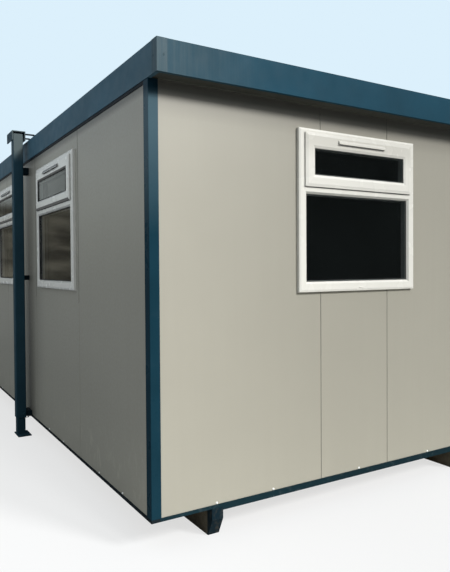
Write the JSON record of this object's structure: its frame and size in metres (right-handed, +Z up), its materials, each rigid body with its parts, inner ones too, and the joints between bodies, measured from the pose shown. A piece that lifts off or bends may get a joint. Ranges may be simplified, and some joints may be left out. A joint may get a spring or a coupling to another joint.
{
  "type": "portable site cabin with jacking legs",
  "caption": "Flat-roofed panelled site cabin on steel runners, with top-hung windows, a rear door and telescopic corner jacking legs.",
  "frame": {"origin": "centre of the bounding box at ground level, under the runners and feet", "axes": "+X along the cabin towards the end wall that the picture shows, -Y towards the side wall it shows, +Z up"},
  "size_m": [10.006, 3.336, 2.86],
  "materials": {
    "blue_paint": "satin blue paint",
    "panel_coating": "textured plastic-coated steel, light stone",
    "white_upvc": "smooth white",
    "glass": "clear double glazing",
    "soffit_brown": "matt dark brown",
    "floor_timber": "sawn timber and plywood",
    "roof_membrane": "grey coated steel",
    "ceiling_lining": "white vinyl-faced board",
    "door_paint": "satin blue paint",
    "handle_aluminium": "satin anodised",
    "black_rubber": "matt black seal",
    "zinc_fixings": "bright zinc plate"
  },
  "bodies": {
    "cabin": {"front_wall": "panel_coating", "front_wall_infills": "panel_coating", "right_end_wall": "panel_coating", "right_end_wall_infills": "panel_coating", "rear_wall": "panel_coating", "rear_wall_infills": "panel_coating", "left_end_wall": "panel_coating", "left_end_wall_infills": "panel_coating", "corner_trims": "blue_paint", "side_base_rails": "blue_paint", "end_base_rails": "blue_paint", "eaves_strips": "soffit_brown", "side_fascias": "blue_paint", "end_fascias": "blue_paint", "fascia_corner_caps": "blue_paint", "end_soffits": "soffit_brown", "roof_frame": "floor_timber", "roof_skin": "roof_membrane", "ceiling": "ceiling_lining", "floor_deck": "floor_timber", "floor_joists": "floor_timber", "floor_side_rims": "floor_timber", "chassis_end_beams": "blue_paint", "front_runner": "blue_paint", "rear_runner": "blue_paint", "window_frames": "white_upvc", "window_sashes": "white_upvc", "window_vents": "white_upvc", "window_fixed_glass": "glass", "window_sash_glass": "glass", "door_frame": "blue_paint", "door_leaf": "door_paint", "door_handle": "handle_aluminium", "leg_brackets": "blue_paint", "front_right_leg_column": "blue_paint", "rear_right_leg_column": "blue_paint", "front_left_leg_column": "blue_paint", "rear_left_leg_column": "blue_paint"},
    "front_right_leg": {"front_right_inner_leg": "blue_paint"},
    "rear_right_leg": {"rear_right_inner_leg": "blue_paint"},
    "front_left_leg": {"front_left_inner_leg": "blue_paint"},
    "rear_left_leg": {"rear_left_inner_leg": "blue_paint"}
  },
  "joints": [
    {"name": "front_right_leg_slide", "type": "slide", "parent": "cabin", "child": "front_right_leg", "axis": [0, 0, -1], "range_m": [-0.15, 1.1]},
    {"name": "rear_right_leg_slide", "type": "slide", "parent": "cabin", "child": "rear_right_leg", "axis": [0, 0, -1], "range_m": [-0.15, 1.1]},
    {"name": "front_left_leg_slide", "type": "slide", "parent": "cabin", "child": "front_left_leg", "axis": [0, 0, -1], "range_m": [-0.15, 1.1]},
    {"name": "rear_left_leg_slide", "type": "slide", "parent": "cabin", "child": "rear_left_leg", "axis": [0, 0, -1], "range_m": [-0.15, 1.1]}
  ]
}
